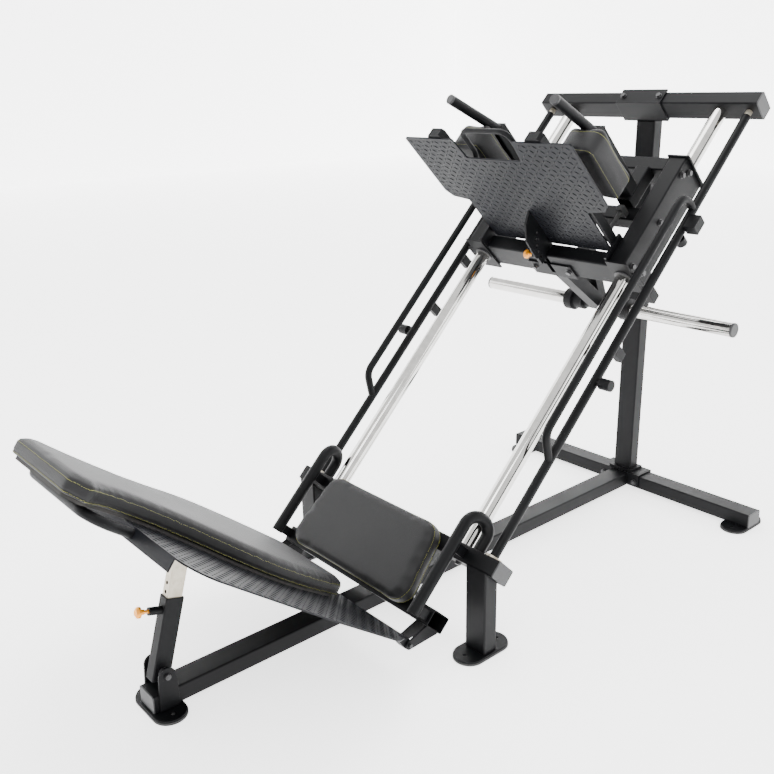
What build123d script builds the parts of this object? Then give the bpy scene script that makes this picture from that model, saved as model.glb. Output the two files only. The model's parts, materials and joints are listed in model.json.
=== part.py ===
"""Combined 45 degree leg press and hack squat sled machine.

Millimetres, +Z up, the machine faces -Y, the origin is on the floor in the
middle of the footprint.  Pieces on the inclined rails are placed in the rail
frame (x across, u up the rails, v square to them, pointing up and forward).
"""

import os
from math import atan2, cos, degrees, radians, sin

from build123d import *

# ---------------------------------------------------------------- driving sizes
rail_angle = 45.0
rail_half_gap = 300.0
safety_half_gap = rail_half_gap + 100.0
rod_radius = 24.0
safety_radius = 14.0
tube_wide = 76.2
tube_narrow = 50.8
tube_wall = 3.0
tube_corner = 5.0
post_y = 1106.0
crossbar_y = post_y - 31.0
crossbar_z = 1466.0
top_half_length = rail_half_gap + 135.0
lower_half_length = rail_half_gap + 152.0
lower_bar_u = -1704.0
lower_bar_y = crossbar_y + lower_bar_u * cos(radians(rail_angle))
lower_bar_z = crossbar_z + lower_bar_u * sin(radians(rail_angle))
base_half_length = rail_half_gap + 250.0
foot_thick = 5.0
rubber_thick = 7.0
base_z = foot_thick + rubber_thick
mid_post_y = lower_bar_y - 26.0
mid_post_x = safety_half_gap
recline_angle = 37.7
hinge_y = lower_bar_y - 249.5
hinge_z = lower_bar_z - 171.0
strut_base_y = hinge_y - 576.5
strut_base_z = 112.0
spine_front_y = hinge_y - 617.5
running_gap = 0.05
apart = 0.3

half_wide = tube_wide / 2
half_narrow = tube_narrow / 2
base_top = base_z + tube_narrow

# ---------------------------------------------------------------- frames
floor = Plane.XY
slope = Plane(
    origin=(0, crossbar_y, crossbar_z),
    x_dir=(1, 0, 0),
    z_dir=(0, -sin(radians(rail_angle)), cos(radians(rail_angle))),
)
recline = Plane(
    origin=(0, hinge_y, hinge_z),
    x_dir=(1, 0, 0),
    z_dir=(0, sin(radians(recline_angle)), cos(radians(recline_angle))),
)


def side(frame, x):
    """Plane square to the frame's x axis, local axes (y, z) of the frame."""
    return Plane(
        origin=frame.from_local_coords((x, 0, 0)),
        x_dir=frame.y_dir,
        z_dir=frame.x_dir,
    )


def section(frame, y):
    """Plane square to the frame's y axis, facing back along it, local axes (x, z)."""
    return Plane(
        origin=frame.from_local_coords((0, y, 0)),
        x_dir=frame.x_dir,
        z_dir=-frame.y_dir,
    )


def spot(frame, at, facing):
    """Plane at a point of a frame, facing a direction given in that frame."""
    tip = frame.from_local_coords(tuple(a + f for a, f in zip(at, facing)))
    base = frame.from_local_coords(at)
    return Plane(origin=base, z_dir=tip - base)


# ---------------------------------------------------------------- shared shapes
def block(frame, across, along, up):
    """Box spanning the given ranges of a frame."""
    with BuildPart(frame) as piece:
        middle = tuple((ends[0] + ends[1]) / 2 for ends in (across, along, up))
        with Locations(middle):
            Box(across[1] - across[0], along[1] - along[0], up[1] - up[0])
    return piece.part


def tube(plane, centre, size, length, wall=tube_wall, corner=tube_corner):
    """Rounded rectangular tube drawn on a plane and extruded along its normal."""
    with BuildPart() as piece:
        with BuildSketch(plane):
            with Locations(centre):
                RectangleRounded(size[0], size[1], corner)
                RectangleRounded(
                    size[0] - 2 * wall,
                    size[1] - 2 * wall,
                    max(corner - wall, 1.0),
                    mode=Mode.SUBTRACT,
                )
        extrude(amount=length)
    return piece.part


def disc(plane, radius, length, bore=0.0):
    """Cylinder on a plane, with an optional bore through it."""
    with BuildPart() as piece:
        with BuildSketch(plane):
            Circle(radius)
            if bore:
                Circle(bore, mode=Mode.SUBTRACT)
        extrude(amount=length)
    return piece.part


def swept_tube(points, bend, radius, bore):
    """Round tube along a polyline with rounded bends."""
    with BuildPart() as piece:
        with BuildLine() as path:
            FilletPolyline(*points, radius=bend)
        start = path.line ^ 0
        with BuildSketch(Plane(origin=start.position, z_dir=path.line % 0)):
            Circle(radius)
            Circle(bore, mode=Mode.SUBTRACT)
        sweep(path=path.line)
    return piece.part


bolt_washer = 11.0
bolt_washer_thick = 2.0
bolt_across = 9.0
bolt_head = 7.0


def bolt(plane):
    """Washer and hexagon head seated on a plane."""
    with BuildPart() as piece:
        add(disc(plane, bolt_washer, bolt_washer_thick))
        with BuildSketch(plane.offset(bolt_washer_thick)):
            RegularPolygon(bolt_across, 6)
        extrude(amount=bolt_head)
    return piece.part


nodes = {}


def keep(node, *pieces):
    """Collect the separate solids of one named node."""
    with BuildPart() as group:
        for piece in pieces:
            add(piece)
    nodes[node] = group


def both(make):
    """The pieces a function makes for the left and the right side."""
    return [make(-1), make(1)]


def span(sign, inner, outer):
    """Range between two distances from the middle, on one side."""
    return (inner, outer) if sign > 0 else (-outer, -inner)


# ---------------------------------------------------------------- floor frame
saddle_plate = 6.0
spine_rear_y = post_y - half_wide - saddle_plate
keep(
    "spine",
    tube(section(floor, spine_rear_y), (0, base_z + half_narrow),
         (tube_wide, tube_narrow), spine_rear_y - spine_front_y),
)
keep(
    "rear_base",
    tube(side(floor, -base_half_length), (post_y, base_z + half_narrow),
         (tube_wide, tube_narrow), 2 * base_half_length),
)

foot_length = 190.0
foot_width = 95.0
foot_hole_reach = 65.0
foot_hole_radius = 6.0
rear_foot_x = base_half_length - 45.0
front_foot_y = spine_front_y + 35.0
foot_spots = [
    (-rear_foot_x, post_y, 90),
    (rear_foot_x, post_y, 90),
    (-mid_post_x, mid_post_y, 90),
    (mid_post_x, mid_post_y, 90),
    (0, front_foot_y, 0),
]


def foot_pad(x, y, turn, height, thick, grow):
    """Stadium shaped foot with its two holding-down holes."""
    with BuildPart() as piece:
        with BuildSketch(Plane.XY.offset(height)):
            with Locations(Location((x, y, 0), (0, 0, turn))):
                SlotOverall(foot_length + grow, foot_width + grow)
                with Locations((-foot_hole_reach, 0), (foot_hole_reach, 0)):
                    Circle(foot_hole_radius, mode=Mode.SUBTRACT)
        extrude(amount=thick)
    return piece.part


keep("foot_plates", *[foot_pad(*at, rubber_thick, foot_thick, -4.0) for at in foot_spots])
keep("foot_rubbers", *[foot_pad(*at, 0.0, rubber_thick, 0.0) for at in foot_spots])

cap_thick = 4.0
cap_round = 1.5


def cap(plane, centre, size):
    """Flat plastic cap closing the end of a tube."""
    with BuildPart() as piece:
        with BuildSketch(plane):
            with Locations(centre):
                RectangleRounded(size[0], size[1], tube_corner)
        extrude(amount=cap_thick)
        fillet(piece.faces().sort_by(Axis((0, 0, 0), plane.z_dir))[-1].edges(), cap_round)
    return piece.part


def end_cap(frame, x, centre, size):
    """Cap on the end of a tube that runs across the machine."""
    plane = side(frame, x)
    if x < 0:
        plane = Plane(origin=plane.origin, x_dir=-plane.x_dir, z_dir=-plane.z_dir)
        centre = (-centre[0], centre[1])
    return cap(plane, centre, size)


keep(
    "tube_caps",
    cap(section(floor, spine_front_y), (0, base_z + half_narrow), (tube_wide, tube_narrow)),
    *[end_cap(floor, s * base_half_length, (post_y, base_z + half_narrow),
              (tube_wide, tube_narrow)) for s in (-1, 1)],
    *[end_cap(slope, s * top_half_length, (0, 0), (tube_narrow, tube_wide)) for s in (-1, 1)],
    *[end_cap(slope, s * lower_half_length, (lower_bar_u, 0),
              (tube_narrow, tube_wide)) for s in (-1, 1)],
)

# ---------------------------------------------------------------- posts and crossbars
saddle_half = 90.0
flange_thick = 9.0
flange_over = 12.0
mid_post_blank = lower_bar_z + tube_wide
upright_bottom = base_top + saddle_plate + flange_thick

keep(
    "top_crossbar",
    tube(side(slope, -top_half_length), (0, 0), (tube_narrow, tube_wide), 2 * top_half_length),
)
keep(
    "lower_crossbar",
    tube(side(slope, -lower_half_length), (lower_bar_u, 0), (tube_narrow, tube_wide),
         2 * lower_half_length),
)

with BuildPart() as upright:
    add(tube(Plane.XY.offset(upright_bottom), (0, post_y), (tube_wide, tube_narrow),
             crossbar_z - upright_bottom))
    split(bisect_by=slope.offset(-half_wide - saddle_plate), keep=Keep.BOTTOM)
    add(block(floor, (-half_wide - flange_over, half_wide + flange_over),
              (post_y - half_wide, post_y + half_wide), (base_top + saddle_plate, upright_bottom)))
nodes["upright"] = upright


def mid_post(s):
    """Post from a foot up to the bevelled underside of the lower crossbar."""
    with BuildPart() as piece:
        add(tube(Plane.XY.offset(base_z), (s * mid_post_x, mid_post_y),
                 (tube_wide, tube_narrow), mid_post_blank))
        split(bisect_by=section(slope, lower_bar_u - half_narrow), keep=Keep.TOP)
    return piece.part


keep("mid_posts", *both(mid_post))


def saddle(frame, across, along, up, open_span):
    """U shaped plate: a block with the clamped tube's room cut out of it."""
    with BuildPart() as piece:
        add(block(frame, across, along, up))
        add(block(frame, across, *open_span), mode=Mode.SUBTRACT)
    return piece.part


keep(
    "frame_saddles",
    saddle(slope, (-saddle_half, saddle_half),
           (-half_narrow - saddle_plate, half_narrow + saddle_plate),
           (-half_wide - saddle_plate, half_wide + saddle_plate),
           ((-half_narrow, half_narrow + 2 * saddle_plate), (-half_wide, half_wide))),
    saddle(floor, (-saddle_half, saddle_half),
           (post_y - half_wide - saddle_plate, post_y + half_wide + saddle_plate),
           (base_z + saddle_plate, base_top + saddle_plate),
           ((post_y - half_wide, post_y + half_wide), (0, base_top))),
)

# ---------------------------------------------------------------- rails
rod_top = -half_narrow
rod_bottom = lower_bar_u + half_narrow


def guide_rod(s):
    """Chromed guide rod between the two crossbars."""
    plane = spot(slope, (s * rail_half_gap, rod_bottom, 0), (0, 1, 0))
    return disc(plane, rod_radius, rod_top - rod_bottom)


keep("guide_rods", *both(guide_rod))

safety_seat_thick = 7.0
safety_seat_radius = 26.0
safety_stud_length = 20.0
safety_stud_radius = 11.0


def safety_seat(s):
    """Flanged seat for the foot of a safety rod."""
    plane = spot(slope, (s * safety_half_gap, rod_bottom, 0), (0, 1, 0))
    return disc(plane, safety_seat_radius, safety_seat_thick)


def safety_stud(s):
    """Stud that carries the top of a safety rod."""
    plane = spot(slope, (s * safety_half_gap, rod_top, 0), (0, -1, 0))
    return disc(plane, safety_stud_radius, safety_stud_length)


keep("safety_bearings", *both(safety_seat), *both(safety_stud))

# ---------------------------------------------------------------- seat
seat_tube_u = lower_bar_u - 203.0
seat_tube_half = rail_half_gap + 45.0
seat_rail_x = 150.0
seat_top_v = 105.0
seat_bottom_v = 50.0
seat_low_u = lower_bar_u - 226.0
seat_high_u = lower_bar_u + 39.0
seat_low_half = 285.0
seat_high_half = 255.0
seat_corner = 60.0
seat_edge = 12.0
board_inset = 22.0


def seat_outline(inset):
    """Trapezium of the seat with rounded corners."""
    with BuildSketch() as outline:
        with BuildLine():
            Polyline(
                (-seat_low_half + inset, seat_low_u + inset),
                (seat_low_half - inset, seat_low_u + inset),
                (seat_high_half - inset, seat_high_u - inset),
                (-seat_high_half + inset, seat_high_u - inset),
                close=True,
            )
        make_face()
        fillet(outline.vertices(), seat_corner - inset)
    return outline.sketch


with BuildPart() as seat_frame:
    add(tube(side(slope, -seat_tube_half), (seat_tube_u, 0), (tube_narrow, tube_wide),
             2 * seat_tube_half))
    for s in (-1, 1):
        add(tube(section(slope, lower_bar_u - half_narrow), (s * seat_rail_x, 0),
                 (tube_narrow, tube_narrow),
                 lower_bar_u - seat_tube_u - 2 * half_narrow))
nodes["seat_frame"] = seat_frame

with BuildPart() as seat_board:
    with BuildSketch(slope.offset(half_wide)):
        add(seat_outline(board_inset))
    extrude(amount=seat_bottom_v - half_wide)
nodes["seat_board"] = seat_board

with BuildPart() as seat_pad:
    with BuildSketch(slope.offset(seat_bottom_v)):
        add(seat_outline(0.0))
    extrude(amount=seat_top_v - seat_bottom_v)
    fillet(seat_pad.faces().sort_by(Axis((0, 0, 0), slope.z_dir))[-1].edges(), seat_edge)
nodes["seat_pad"] = seat_pad

grip_radius = 18.0
grip_bore = 15.5
grip_x = rail_half_gap + 31.0
grip_v = 100.0
grip_low_u = lower_bar_u - 221.0
grip_high_u = lower_bar_u + 106.0
grip_foot_x = rail_half_gap + 55.0
grip_foot_v = 15.0
grip_bend = 40.0
grip_strap = 8.0
grip_strap_ends = (10.0, 40.0)


def grip(s):
    """Bent side grip with the two straps that hold it."""
    path = [
        slope.from_local_coords((s * grip_x, grip_low_u, grip_v)),
        slope.from_local_coords((s * grip_x, grip_high_u, grip_v)),
        slope.from_local_coords((s * grip_foot_x, grip_high_u, grip_foot_v)),
        slope.from_local_coords((s * grip_foot_x, rod_bottom, grip_foot_v)),
    ]
    across = span(s, grip_x - grip_strap / 2, grip_x + grip_strap / 2)
    with BuildPart() as piece:
        add(swept_tube(path, grip_bend, grip_radius, grip_bore))
        for low_u in (seat_tube_u - half_narrow, lower_bar_u - half_narrow):
            along = tuple(low_u + end for end in grip_strap_ends)
            add(block(slope, across, along, (half_wide, grip_v - grip_bore - 1)))
    return piece.part


keep("side_grips", *both(grip))

# ---------------------------------------------------------------- back rest clevises
clevis_inner = rail_half_gap
clevis_outer = clevis_inner + 39.0
clevis_plate = 6.0
clevis_radius = 13.0
hinge_bolt_radius = 6.0
hinge_bolt_over = 6.0
clevis_root = (4.0, 56.0)
clevis_root_v = 6.0
hinge_at = slope.to_local_coords(Vector(0, hinge_y, hinge_z))
seat_tube_low = seat_tube_u - half_narrow


def clevis_cheek(x):
    """Plate from the seat cross tube down to the back rest hinge."""
    with BuildPart() as piece:
        with BuildSketch(side(slope, x)):
            with Locations((hinge_at.Y, hinge_at.Z)):
                Circle(clevis_radius)
            with Locations((seat_tube_low - clevis_root[0] / 2, clevis_root_v)):
                Rectangle(*clevis_root)
            make_hull()
            with Locations((hinge_at.Y, hinge_at.Z)):
                Circle(hinge_bolt_radius, mode=Mode.SUBTRACT)
        extrude(amount=clevis_plate)
    return piece.part


def hinge_bolt(s):
    """Hinge bolt through both cheeks of one clevis."""
    start = s * (clevis_inner - hinge_bolt_over)
    plane = Plane(origin=(start, hinge_y, hinge_z), z_dir=(s, 0, 0))
    length = clevis_outer + clevis_plate - clevis_inner + 2 * hinge_bolt_over
    return disc(plane, hinge_bolt_radius, length)


def cheek_start(s, inner):
    """Low-x face of a cheek whose near face is the given distance from the middle."""
    return inner if s > 0 else -inner - clevis_plate


# ---------------------------------------------------------------- back rest
plate_low = 14.0
plate_top = 18.0
plate_front = -865.0
plate_rear = -22.0
plate_half = rail_half_gap + 150.0
plate_straight = -440.0
plate_knee_y = -140.0
plate_knee_half = rail_half_gap + 120.0
plate_rear_half = rail_half_gap + 38.0
plate_corner = 80.0
flange_drop = 30.0
flange_half = rail_half_gap + 70.0
pad_bottom = 26.0
pad_top = 76.0
strut_top_y = -590.0
strut_top_z = -24.0
knuckle_radius = 14.0
knuckle_gap = 1.0
knuckle_root = (50.0, 4.0)
knuckle_root_back = 26.0
flange_plate = 4.0

with BuildPart() as rest_plate:
    with BuildSketch(recline.offset(plate_low)) as outline:
        with BuildLine():
            Polyline(
                (-plate_half, plate_front), (plate_half, plate_front),
                (plate_half, plate_straight), (plate_knee_half, plate_knee_y),
                (plate_rear_half, plate_rear), (-plate_rear_half, plate_rear),
                (-plate_knee_half, plate_knee_y), (-plate_half, plate_straight),
                close=True,
            )
        make_face()
        fillet(outline.vertices(), plate_corner)
    extrude(amount=plate_top - plate_low)
    add(block(recline, (-flange_half, flange_half), (plate_front, plate_front + flange_plate),
              (plate_low - flange_drop, plate_low)))
nodes["rest_plate"] = rest_plate


def knuckle(s):
    """Hinge knuckle welded under the rest plate, between the clevis cheeks."""
    near = clevis_inner + clevis_plate + knuckle_gap
    across = span(s, near, clevis_outer - knuckle_gap)
    with BuildPart() as piece:
        with BuildSketch(side(recline, across[0])):
            Circle(knuckle_radius)
            with Locations((plate_rear - knuckle_root_back, plate_low - knuckle_root[1] / 2)):
                Rectangle(*knuckle_root)
            make_hull()
            Circle(hinge_bolt_radius + running_gap, mode=Mode.SUBTRACT)
        extrude(amount=across[1] - across[0])
    return piece.part


rest_loop_x = 185.0
rest_loop_front = -975.0
rest_loop_z = 2.0
rest_loop_radius = 12.5
loop_bend = 50.0
rest_loop_bend = 60.0
loop_wall = 2.0
keep(
    "rest_loop_handle",
    swept_tube(
        [recline.from_local_coords((x, y, rest_loop_z)) for x, y in (
            (-rest_loop_x, plate_front), (-rest_loop_x, rest_loop_front),
            (rest_loop_x, rest_loop_front), (rest_loop_x, plate_front))],
        rest_loop_bend, rest_loop_radius, rest_loop_radius - loop_wall,
    ),
)

pad_half_widths = [
    (-1010.0, 200.0), (-930.0, 163.0), (-865.0, 154.0), (-790.0, 157.0), (-675.0, 189.0),
    (-560.0, 232.0), (-445.0, 246.0), (-320.0, 226.0), (-165.0, 172.0),
]
pad_front = -1060.0
pad_rear = -140.0
pad_edge = 11.0
pad_corner = 42.0
pad_blend = 14.0


def pad_outline(inset):
    """Hourglass outline of the back pad, narrowed all round by an inset."""
    right = [(half - inset, y) for y, half in pad_half_widths]
    left = [(-x, y) for x, y in reversed(right)]
    with BuildSketch() as outline:
        with BuildLine():
            Spline(*right)
            Polyline(right[-1], (right[-1][0] - pad_corner / 4, pad_rear - inset),
                     (left[0][0] + pad_corner / 4, pad_rear - inset), left[0])
            Spline(*left)
            Polyline(left[-1], (left[-1][0] + pad_corner, pad_front + inset),
                     (right[0][0] - pad_corner, pad_front + inset), right[0])
        make_face()
        fillet(outline.vertices(), pad_blend)
    return outline.sketch


with BuildPart() as rest_board:
    with BuildSketch(recline.offset(plate_top)):
        add(pad_outline(board_inset))
    extrude(amount=pad_bottom - plate_top)
nodes["rest_board"] = rest_board

with BuildPart() as back_pad:
    with BuildSketch(recline.offset(pad_bottom)):
        add(pad_outline(0.0))
    extrude(amount=pad_top - pad_bottom)
    fillet(back_pad.faces().sort_by(Axis((0, 0, 0), recline.z_dir))[-1].edges(), pad_edge)
nodes["back_pad"] = back_pad

# ---------------------------------------------------------------- strut
strut_top = recline.from_local_coords((0, strut_top_y, strut_top_z))
strut_line = strut_top - Vector(0, strut_base_y, strut_base_z)
strut_length = strut_line.length
strut = Plane(origin=(0, strut_base_y, strut_base_z), x_dir=(1, 0, 0), z_dir=strut_line)
outer_across = 38.0
outer_deep = 52.0
outer_low = -26.0
outer_high = 205.0
inner_across = 30.0
inner_deep = 44.0
inner_low = 70.0
inner_over = 14.0
inner_wall = 3.0
pin_height = 168.0
pin_radius = 5.0
pin_pitch = 25.0
holes_above = 3
holes_below = 3
base_bolt_radius = 8.0
top_bolt_radius = 6.0
open_pivot_gap = 1.6
barrel_radius = pin_radius + 6.0
barrel_reach = 36.0
outer_round = 4.0
inner_round = 3.0
hole_reach = 40.0
machine_wide = 1000.0


def across_bolt(frame, y, z, half, radius):
    """Bolt across the machine through a point of a frame."""
    centre = frame.from_local_coords((-half, y, z))
    return disc(Plane(origin=centre, z_dir=(1, 0, 0)), radius, 2 * half)


def hole_across(frame, y, z, radius):
    """Cutter for a hole right across the machine."""
    return across_bolt(frame, y, z, machine_wide / 2, radius)


def pin_cutter(frame, at, facing, radius, length):
    """Cutter for a pin hole that starts at a point and runs one way."""
    return disc(spot(frame, at, facing), radius, length)


with BuildPart() as strut_outer:
    with BuildSketch(strut.offset(outer_low)):
        RectangleRounded(outer_across, outer_deep, outer_round)
        Rectangle(inner_across + 2 * running_gap, inner_deep + 2 * running_gap, mode=Mode.SUBTRACT)
    extrude(amount=outer_high - outer_low)
    add(disc(spot(strut, (0, -outer_deep / 2, pin_height), (0, -1, 0)), barrel_radius,
             barrel_reach))
    add(hole_across(strut, 0, 0, base_bolt_radius + running_gap), mode=Mode.SUBTRACT)
    add(pin_cutter(strut, (0, -inner_deep / 2 + 1, pin_height), (0, -1, 0),
                   pin_radius + running_gap, 2 * hole_reach), mode=Mode.SUBTRACT)
nodes["strut_outer"] = strut_outer

with BuildPart() as strut_inner:
    with BuildSketch(strut.offset(inner_low)):
        RectangleRounded(inner_across, inner_deep, inner_round)
        RectangleRounded(inner_across - 2 * inner_wall, inner_deep - 2 * inner_wall, 1,
                         mode=Mode.SUBTRACT)
    extrude(amount=strut_length + inner_over - inner_low)
    add(hole_across(strut, 0, strut_length, top_bolt_radius + open_pivot_gap),
        mode=Mode.SUBTRACT)
    for step in range(-holes_below, holes_above + 1):
        add(pin_cutter(strut, (0, 0, pin_height + step * pin_pitch), (0, -1, 0),
                       pin_radius + running_gap, hole_reach), mode=Mode.SUBTRACT)
nodes["strut_inner"] = strut_inner

knob_radius = 15.0
knob_neck = 4.0
knob_rim = 6.0
knob_dome = 5.0
knob_crown = 9.0
collar_radius = pin_radius + 2.0
collar_length = 8.0
pin_travel = 12.0
pin_clear = 1.0


def pin_with_knob(plane, shaft):
    """Locking pin drawn from its tip, with a collar and a mushroom knob on its tail."""
    rim = -shaft - knob_neck
    crown = rim - knob_rim - knob_dome
    with BuildPart() as piece:
        add(disc(plane, pin_radius, shaft))
        with BuildSketch(Plane(origin=plane.origin, x_dir=plane.x_dir, z_dir=plane.y_dir)):
            with BuildLine():
                Polyline((0, collar_length - shaft), (collar_radius, collar_length - shaft),
                         (collar_radius, -shaft), (knob_radius, rim),
                         (knob_radius, rim - knob_rim), (knob_crown, crown), (0, crown),
                         close=True)
            make_face()
        revolve(axis=Axis(plane.origin, plane.z_dir))
    return piece.part


def drawn_shaft(barrel_end, tip):
    """Length of a pin from its tip to its knob, drawn clear of the end of its barrel."""
    return barrel_end + pin_travel + pin_clear + collar_length - tip


strut_pin_tip = outer_deep / 2
keep(
    "strut_pin",
    pin_with_knob(spot(strut, (0, -strut_pin_tip, pin_height), (0, -1, 0)),
                  drawn_shaft(outer_deep / 2 + barrel_reach, strut_pin_tip)),
)

bracket_inner = inner_across / 2 + 1
bracket_plate = 6.0
lug_radius = 18.0
lug_root = (80.0, 4.0)
lug_bolt_over = 5.0
ear_plate = 6.0
ear_radius = 24.0
ear_root = (56.0, 40.0)
ear_root_up = 22.0
spacer_radius = 13.0


def strut_lug(s):
    """Lug under the rest plate that holds the strut's top bolt."""
    across = span(s, bracket_inner, bracket_inner + bracket_plate)
    with BuildPart() as piece:
        with BuildSketch(side(recline, across[0])):
            with Locations((strut_top_y, strut_top_z)):
                Circle(lug_radius)
            with Locations((strut_top_y, plate_low - lug_root[1] / 2)):
                Rectangle(*lug_root)
            make_hull()
            with Locations((strut_top_y, strut_top_z)):
                Circle(top_bolt_radius, mode=Mode.SUBTRACT)
        extrude(amount=bracket_plate)
    return piece.part


keep("rest_lugs", *both(strut_lug), *both(knuckle))
keep(
    "strut_top_bolt",
    across_bolt(recline, strut_top_y, strut_top_z, bracket_inner + bracket_plate + lug_bolt_over,
                top_bolt_radius),
)


def strut_ear(s):
    """Ear on the side of the spine that holds the strut's foot bolt."""
    start = half_wide if s > 0 else -half_wide - ear_plate
    with BuildPart() as piece:
        with BuildSketch(side(floor, start)):
            with Locations((strut_base_y, strut_base_z)):
                Circle(ear_radius)
            with Locations((strut_base_y, base_z + ear_root_up)):
                Rectangle(*ear_root)
            make_hull()
            with Locations((strut_base_y, strut_base_z)):
                Circle(base_bolt_radius, mode=Mode.SUBTRACT)
        extrude(amount=ear_plate)
    return piece.part


def strut_spacer(s):
    """Spacer between the strut's foot and an ear."""
    start = outer_across / 2 + apart
    plane = Plane(origin=(s * start, strut_base_y, strut_base_z), z_dir=(s, 0, 0))
    return disc(plane, spacer_radius, half_wide - start, base_bolt_radius)


keep(
    "hinge_ears",
    *both(strut_ear),
    *[clevis_cheek(cheek_start(s, inner)) for s in (-1, 1)
      for inner in (clevis_inner, clevis_outer)],
)
keep(
    "hinge_bolts",
    across_bolt(floor, strut_base_y, strut_base_z, half_wide + spacer_radius, base_bolt_radius),
    *both(strut_spacer),
    *both(hinge_bolt),
)

# ---------------------------------------------------------------- sled bearings
house_low = -699.0
house_high = -281.0
house_half_v = 70.0
house_half = rod_radius + 6.0
house_in = rail_half_gap - house_half
house_out = rail_half_gap + house_half
house_wall = 4.0
end_thick = 6.0
end_in = house_in - 7.0
end_out = house_out + 10.0
catch_out = end_out + 22.0
catch_half_v = 26.0
end_half_v = 75.0
bushing_radius = house_half - house_wall
bushing_length = 70.0
bushing_flange = rod_radius + 7.0
bushing_flange_thick = 4.0
house_corner = 5.0


def housing(s):
    """Bearing housing around one guide rod."""
    return tube(section(slope, house_high), (s * rail_half_gap, 0),
                (house_out - house_in, 2 * house_half_v), house_high - house_low,
                house_wall, house_corner)


keep("housing_left", housing(-1))
keep("housing_right", housing(1))


def end_plate(s, low_u, outer):
    """Plate closing one end of a housing; the lower one has the safety catch."""
    with BuildPart() as piece:
        add(block(slope, span(s, end_in, end_out), (low_u, low_u + end_thick),
                  (-end_half_v, end_half_v)))
        if outer > end_out:
            add(block(slope, span(s, end_out, outer), (low_u, low_u + end_thick),
                      (-catch_half_v, catch_half_v)))
        bore = spot(slope, (s * rail_half_gap, low_u - 1, 0), (0, 1, 0))
        add(disc(bore, bushing_radius, end_thick + 2), mode=Mode.SUBTRACT)
    return piece.part


keep(
    "housing_end_plates",
    *[end_plate(s, house_low - end_thick, catch_out) for s in (-1, 1)],
    *[end_plate(s, house_high, end_out) for s in (-1, 1)],
)


def bushing(s, face_u, facing):
    """Flanged bushing that slides on a guide rod."""
    plane = spot(slope, (s * rail_half_gap, face_u, 0), (0, facing, 0))
    inward = spot(slope, (s * rail_half_gap, face_u, 0), (0, -facing, 0))
    with BuildPart() as piece:
        add(disc(plane, bushing_flange, bushing_flange_thick, rod_radius + running_gap))
        add(disc(inward, bushing_radius, bushing_length, rod_radius + running_gap))
    return piece.part


keep(
    "bushings",
    *[bushing(s, u, f) for s in (-1, 1)
      for u, f in ((house_low - end_thick, -1), (house_high + end_thick, 1))],
)

# ---------------------------------------------------------------- sled frame
upper_v = 30.0
middle_u = -494.0
middle_v = 20.0
lower_u = -673.0
lower_v = -6.5
lower_deep = 101.0
slot_half = 8.0
slot_low = -42.0
cross_corner = 5.0


def cross_tube(centre, size):
    """Tube between the two housings."""
    return tube(side(slope, -house_in), centre, size, 2 * house_in, tube_wall, cross_corner)


upper_centre = (house_high - half_narrow, upper_v)
keep("sled_upper_tube", cross_tube(upper_centre, (tube_narrow, tube_wide)))
keep("sled_middle_tube", cross_tube((middle_u, middle_v), (tube_narrow, tube_narrow)))
lower_front = lower_u - half_narrow
lower_back = lower_u + half_narrow
lower_bottom = lower_v - lower_deep / 2
lower_top = lower_v + lower_deep / 2
sector_slot = block(slope, (-slot_half, slot_half), (lower_front - 20, lower_back + 20),
                    (slot_low, lower_top + 10))
with BuildPart() as sled_lower_tube:
    add(cross_tube((lower_u, lower_v), (tube_narrow, lower_deep)))
    add(sector_slot, mode=Mode.SUBTRACT)
nodes["sled_lower_tube"] = sled_lower_tube

saddle_high = 4.0
with BuildPart() as sled_saddle:
    add(saddle(slope, (-saddle_half, saddle_half),
               (lower_front - saddle_plate, lower_back + saddle_plate),
               (lower_bottom - saddle_plate, saddle_high),
               ((lower_front, lower_back), (lower_bottom, saddle_high))))
    add(sector_slot, mode=Mode.SUBTRACT)
nodes["sled_saddle"] = sled_saddle

# ---------------------------------------------------------------- shoulder supports
bar_half = 25.0
bar_x = 200.0
bar_low_v = 30.0
bar_high_v = 80.0
post_u = -433.0
post_top_v = 350.0
post_lid = 4.0
upper_face = house_high - 2 * half_narrow
middle_top = middle_v + half_narrow


def shoulder_support(s):
    """Bar from the upper cross tube with the post for one shoulder pad."""
    across = s * bar_x
    with BuildPart() as piece:
        add(tube(section(slope, upper_face), (across, (bar_low_v + bar_high_v) / 2),
                 (2 * bar_half, bar_high_v - bar_low_v), upper_face - middle_u - half_narrow))
        add(tube(slope.offset(bar_high_v), (across, post_u), (2 * bar_half, 2 * bar_half),
                 post_top_v - bar_high_v))
        add(block(slope, (across - bar_half, across + bar_half),
                  (post_u - bar_half, post_u + bar_half), (post_top_v - post_lid, post_top_v)))
    return piece.part


keep("shoulder_supports", *both(shoulder_support))

shoulder_in = 150.0
shoulder_out = 303.0
shoulder_low = 177.0
shoulder_high = 426.0
shoulder_face = -560.0
shoulder_back = -488.0
shoulder_corner = 38.0
shoulder_small = 22.0
backing_inset = 20.0
shoulder_edge = 12.0


def shoulder_outline(s, inset, top):
    """Face of a shoulder pad with its big outer top corner."""
    centre = (s * (shoulder_in + shoulder_out) / 2, (shoulder_low + inset + top) / 2)
    with BuildSketch() as outline:
        with Locations(centre):
            Rectangle(shoulder_out - shoulder_in - 2 * inset, top - shoulder_low - inset)
        outer_top = outline.vertices().sort_by(Axis((0, 0, 0), (s, 1, 0)))[-1]
        others = [v for v in outline.vertices() if v != outer_top]
        fillet(outer_top, shoulder_corner - inset / 2)
        fillet([v for v in outline.vertices() if any(
            (Vector(v) - Vector(o)).length < 0.01 for o in others)], shoulder_small - inset / 2)
    return outline.sketch


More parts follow.
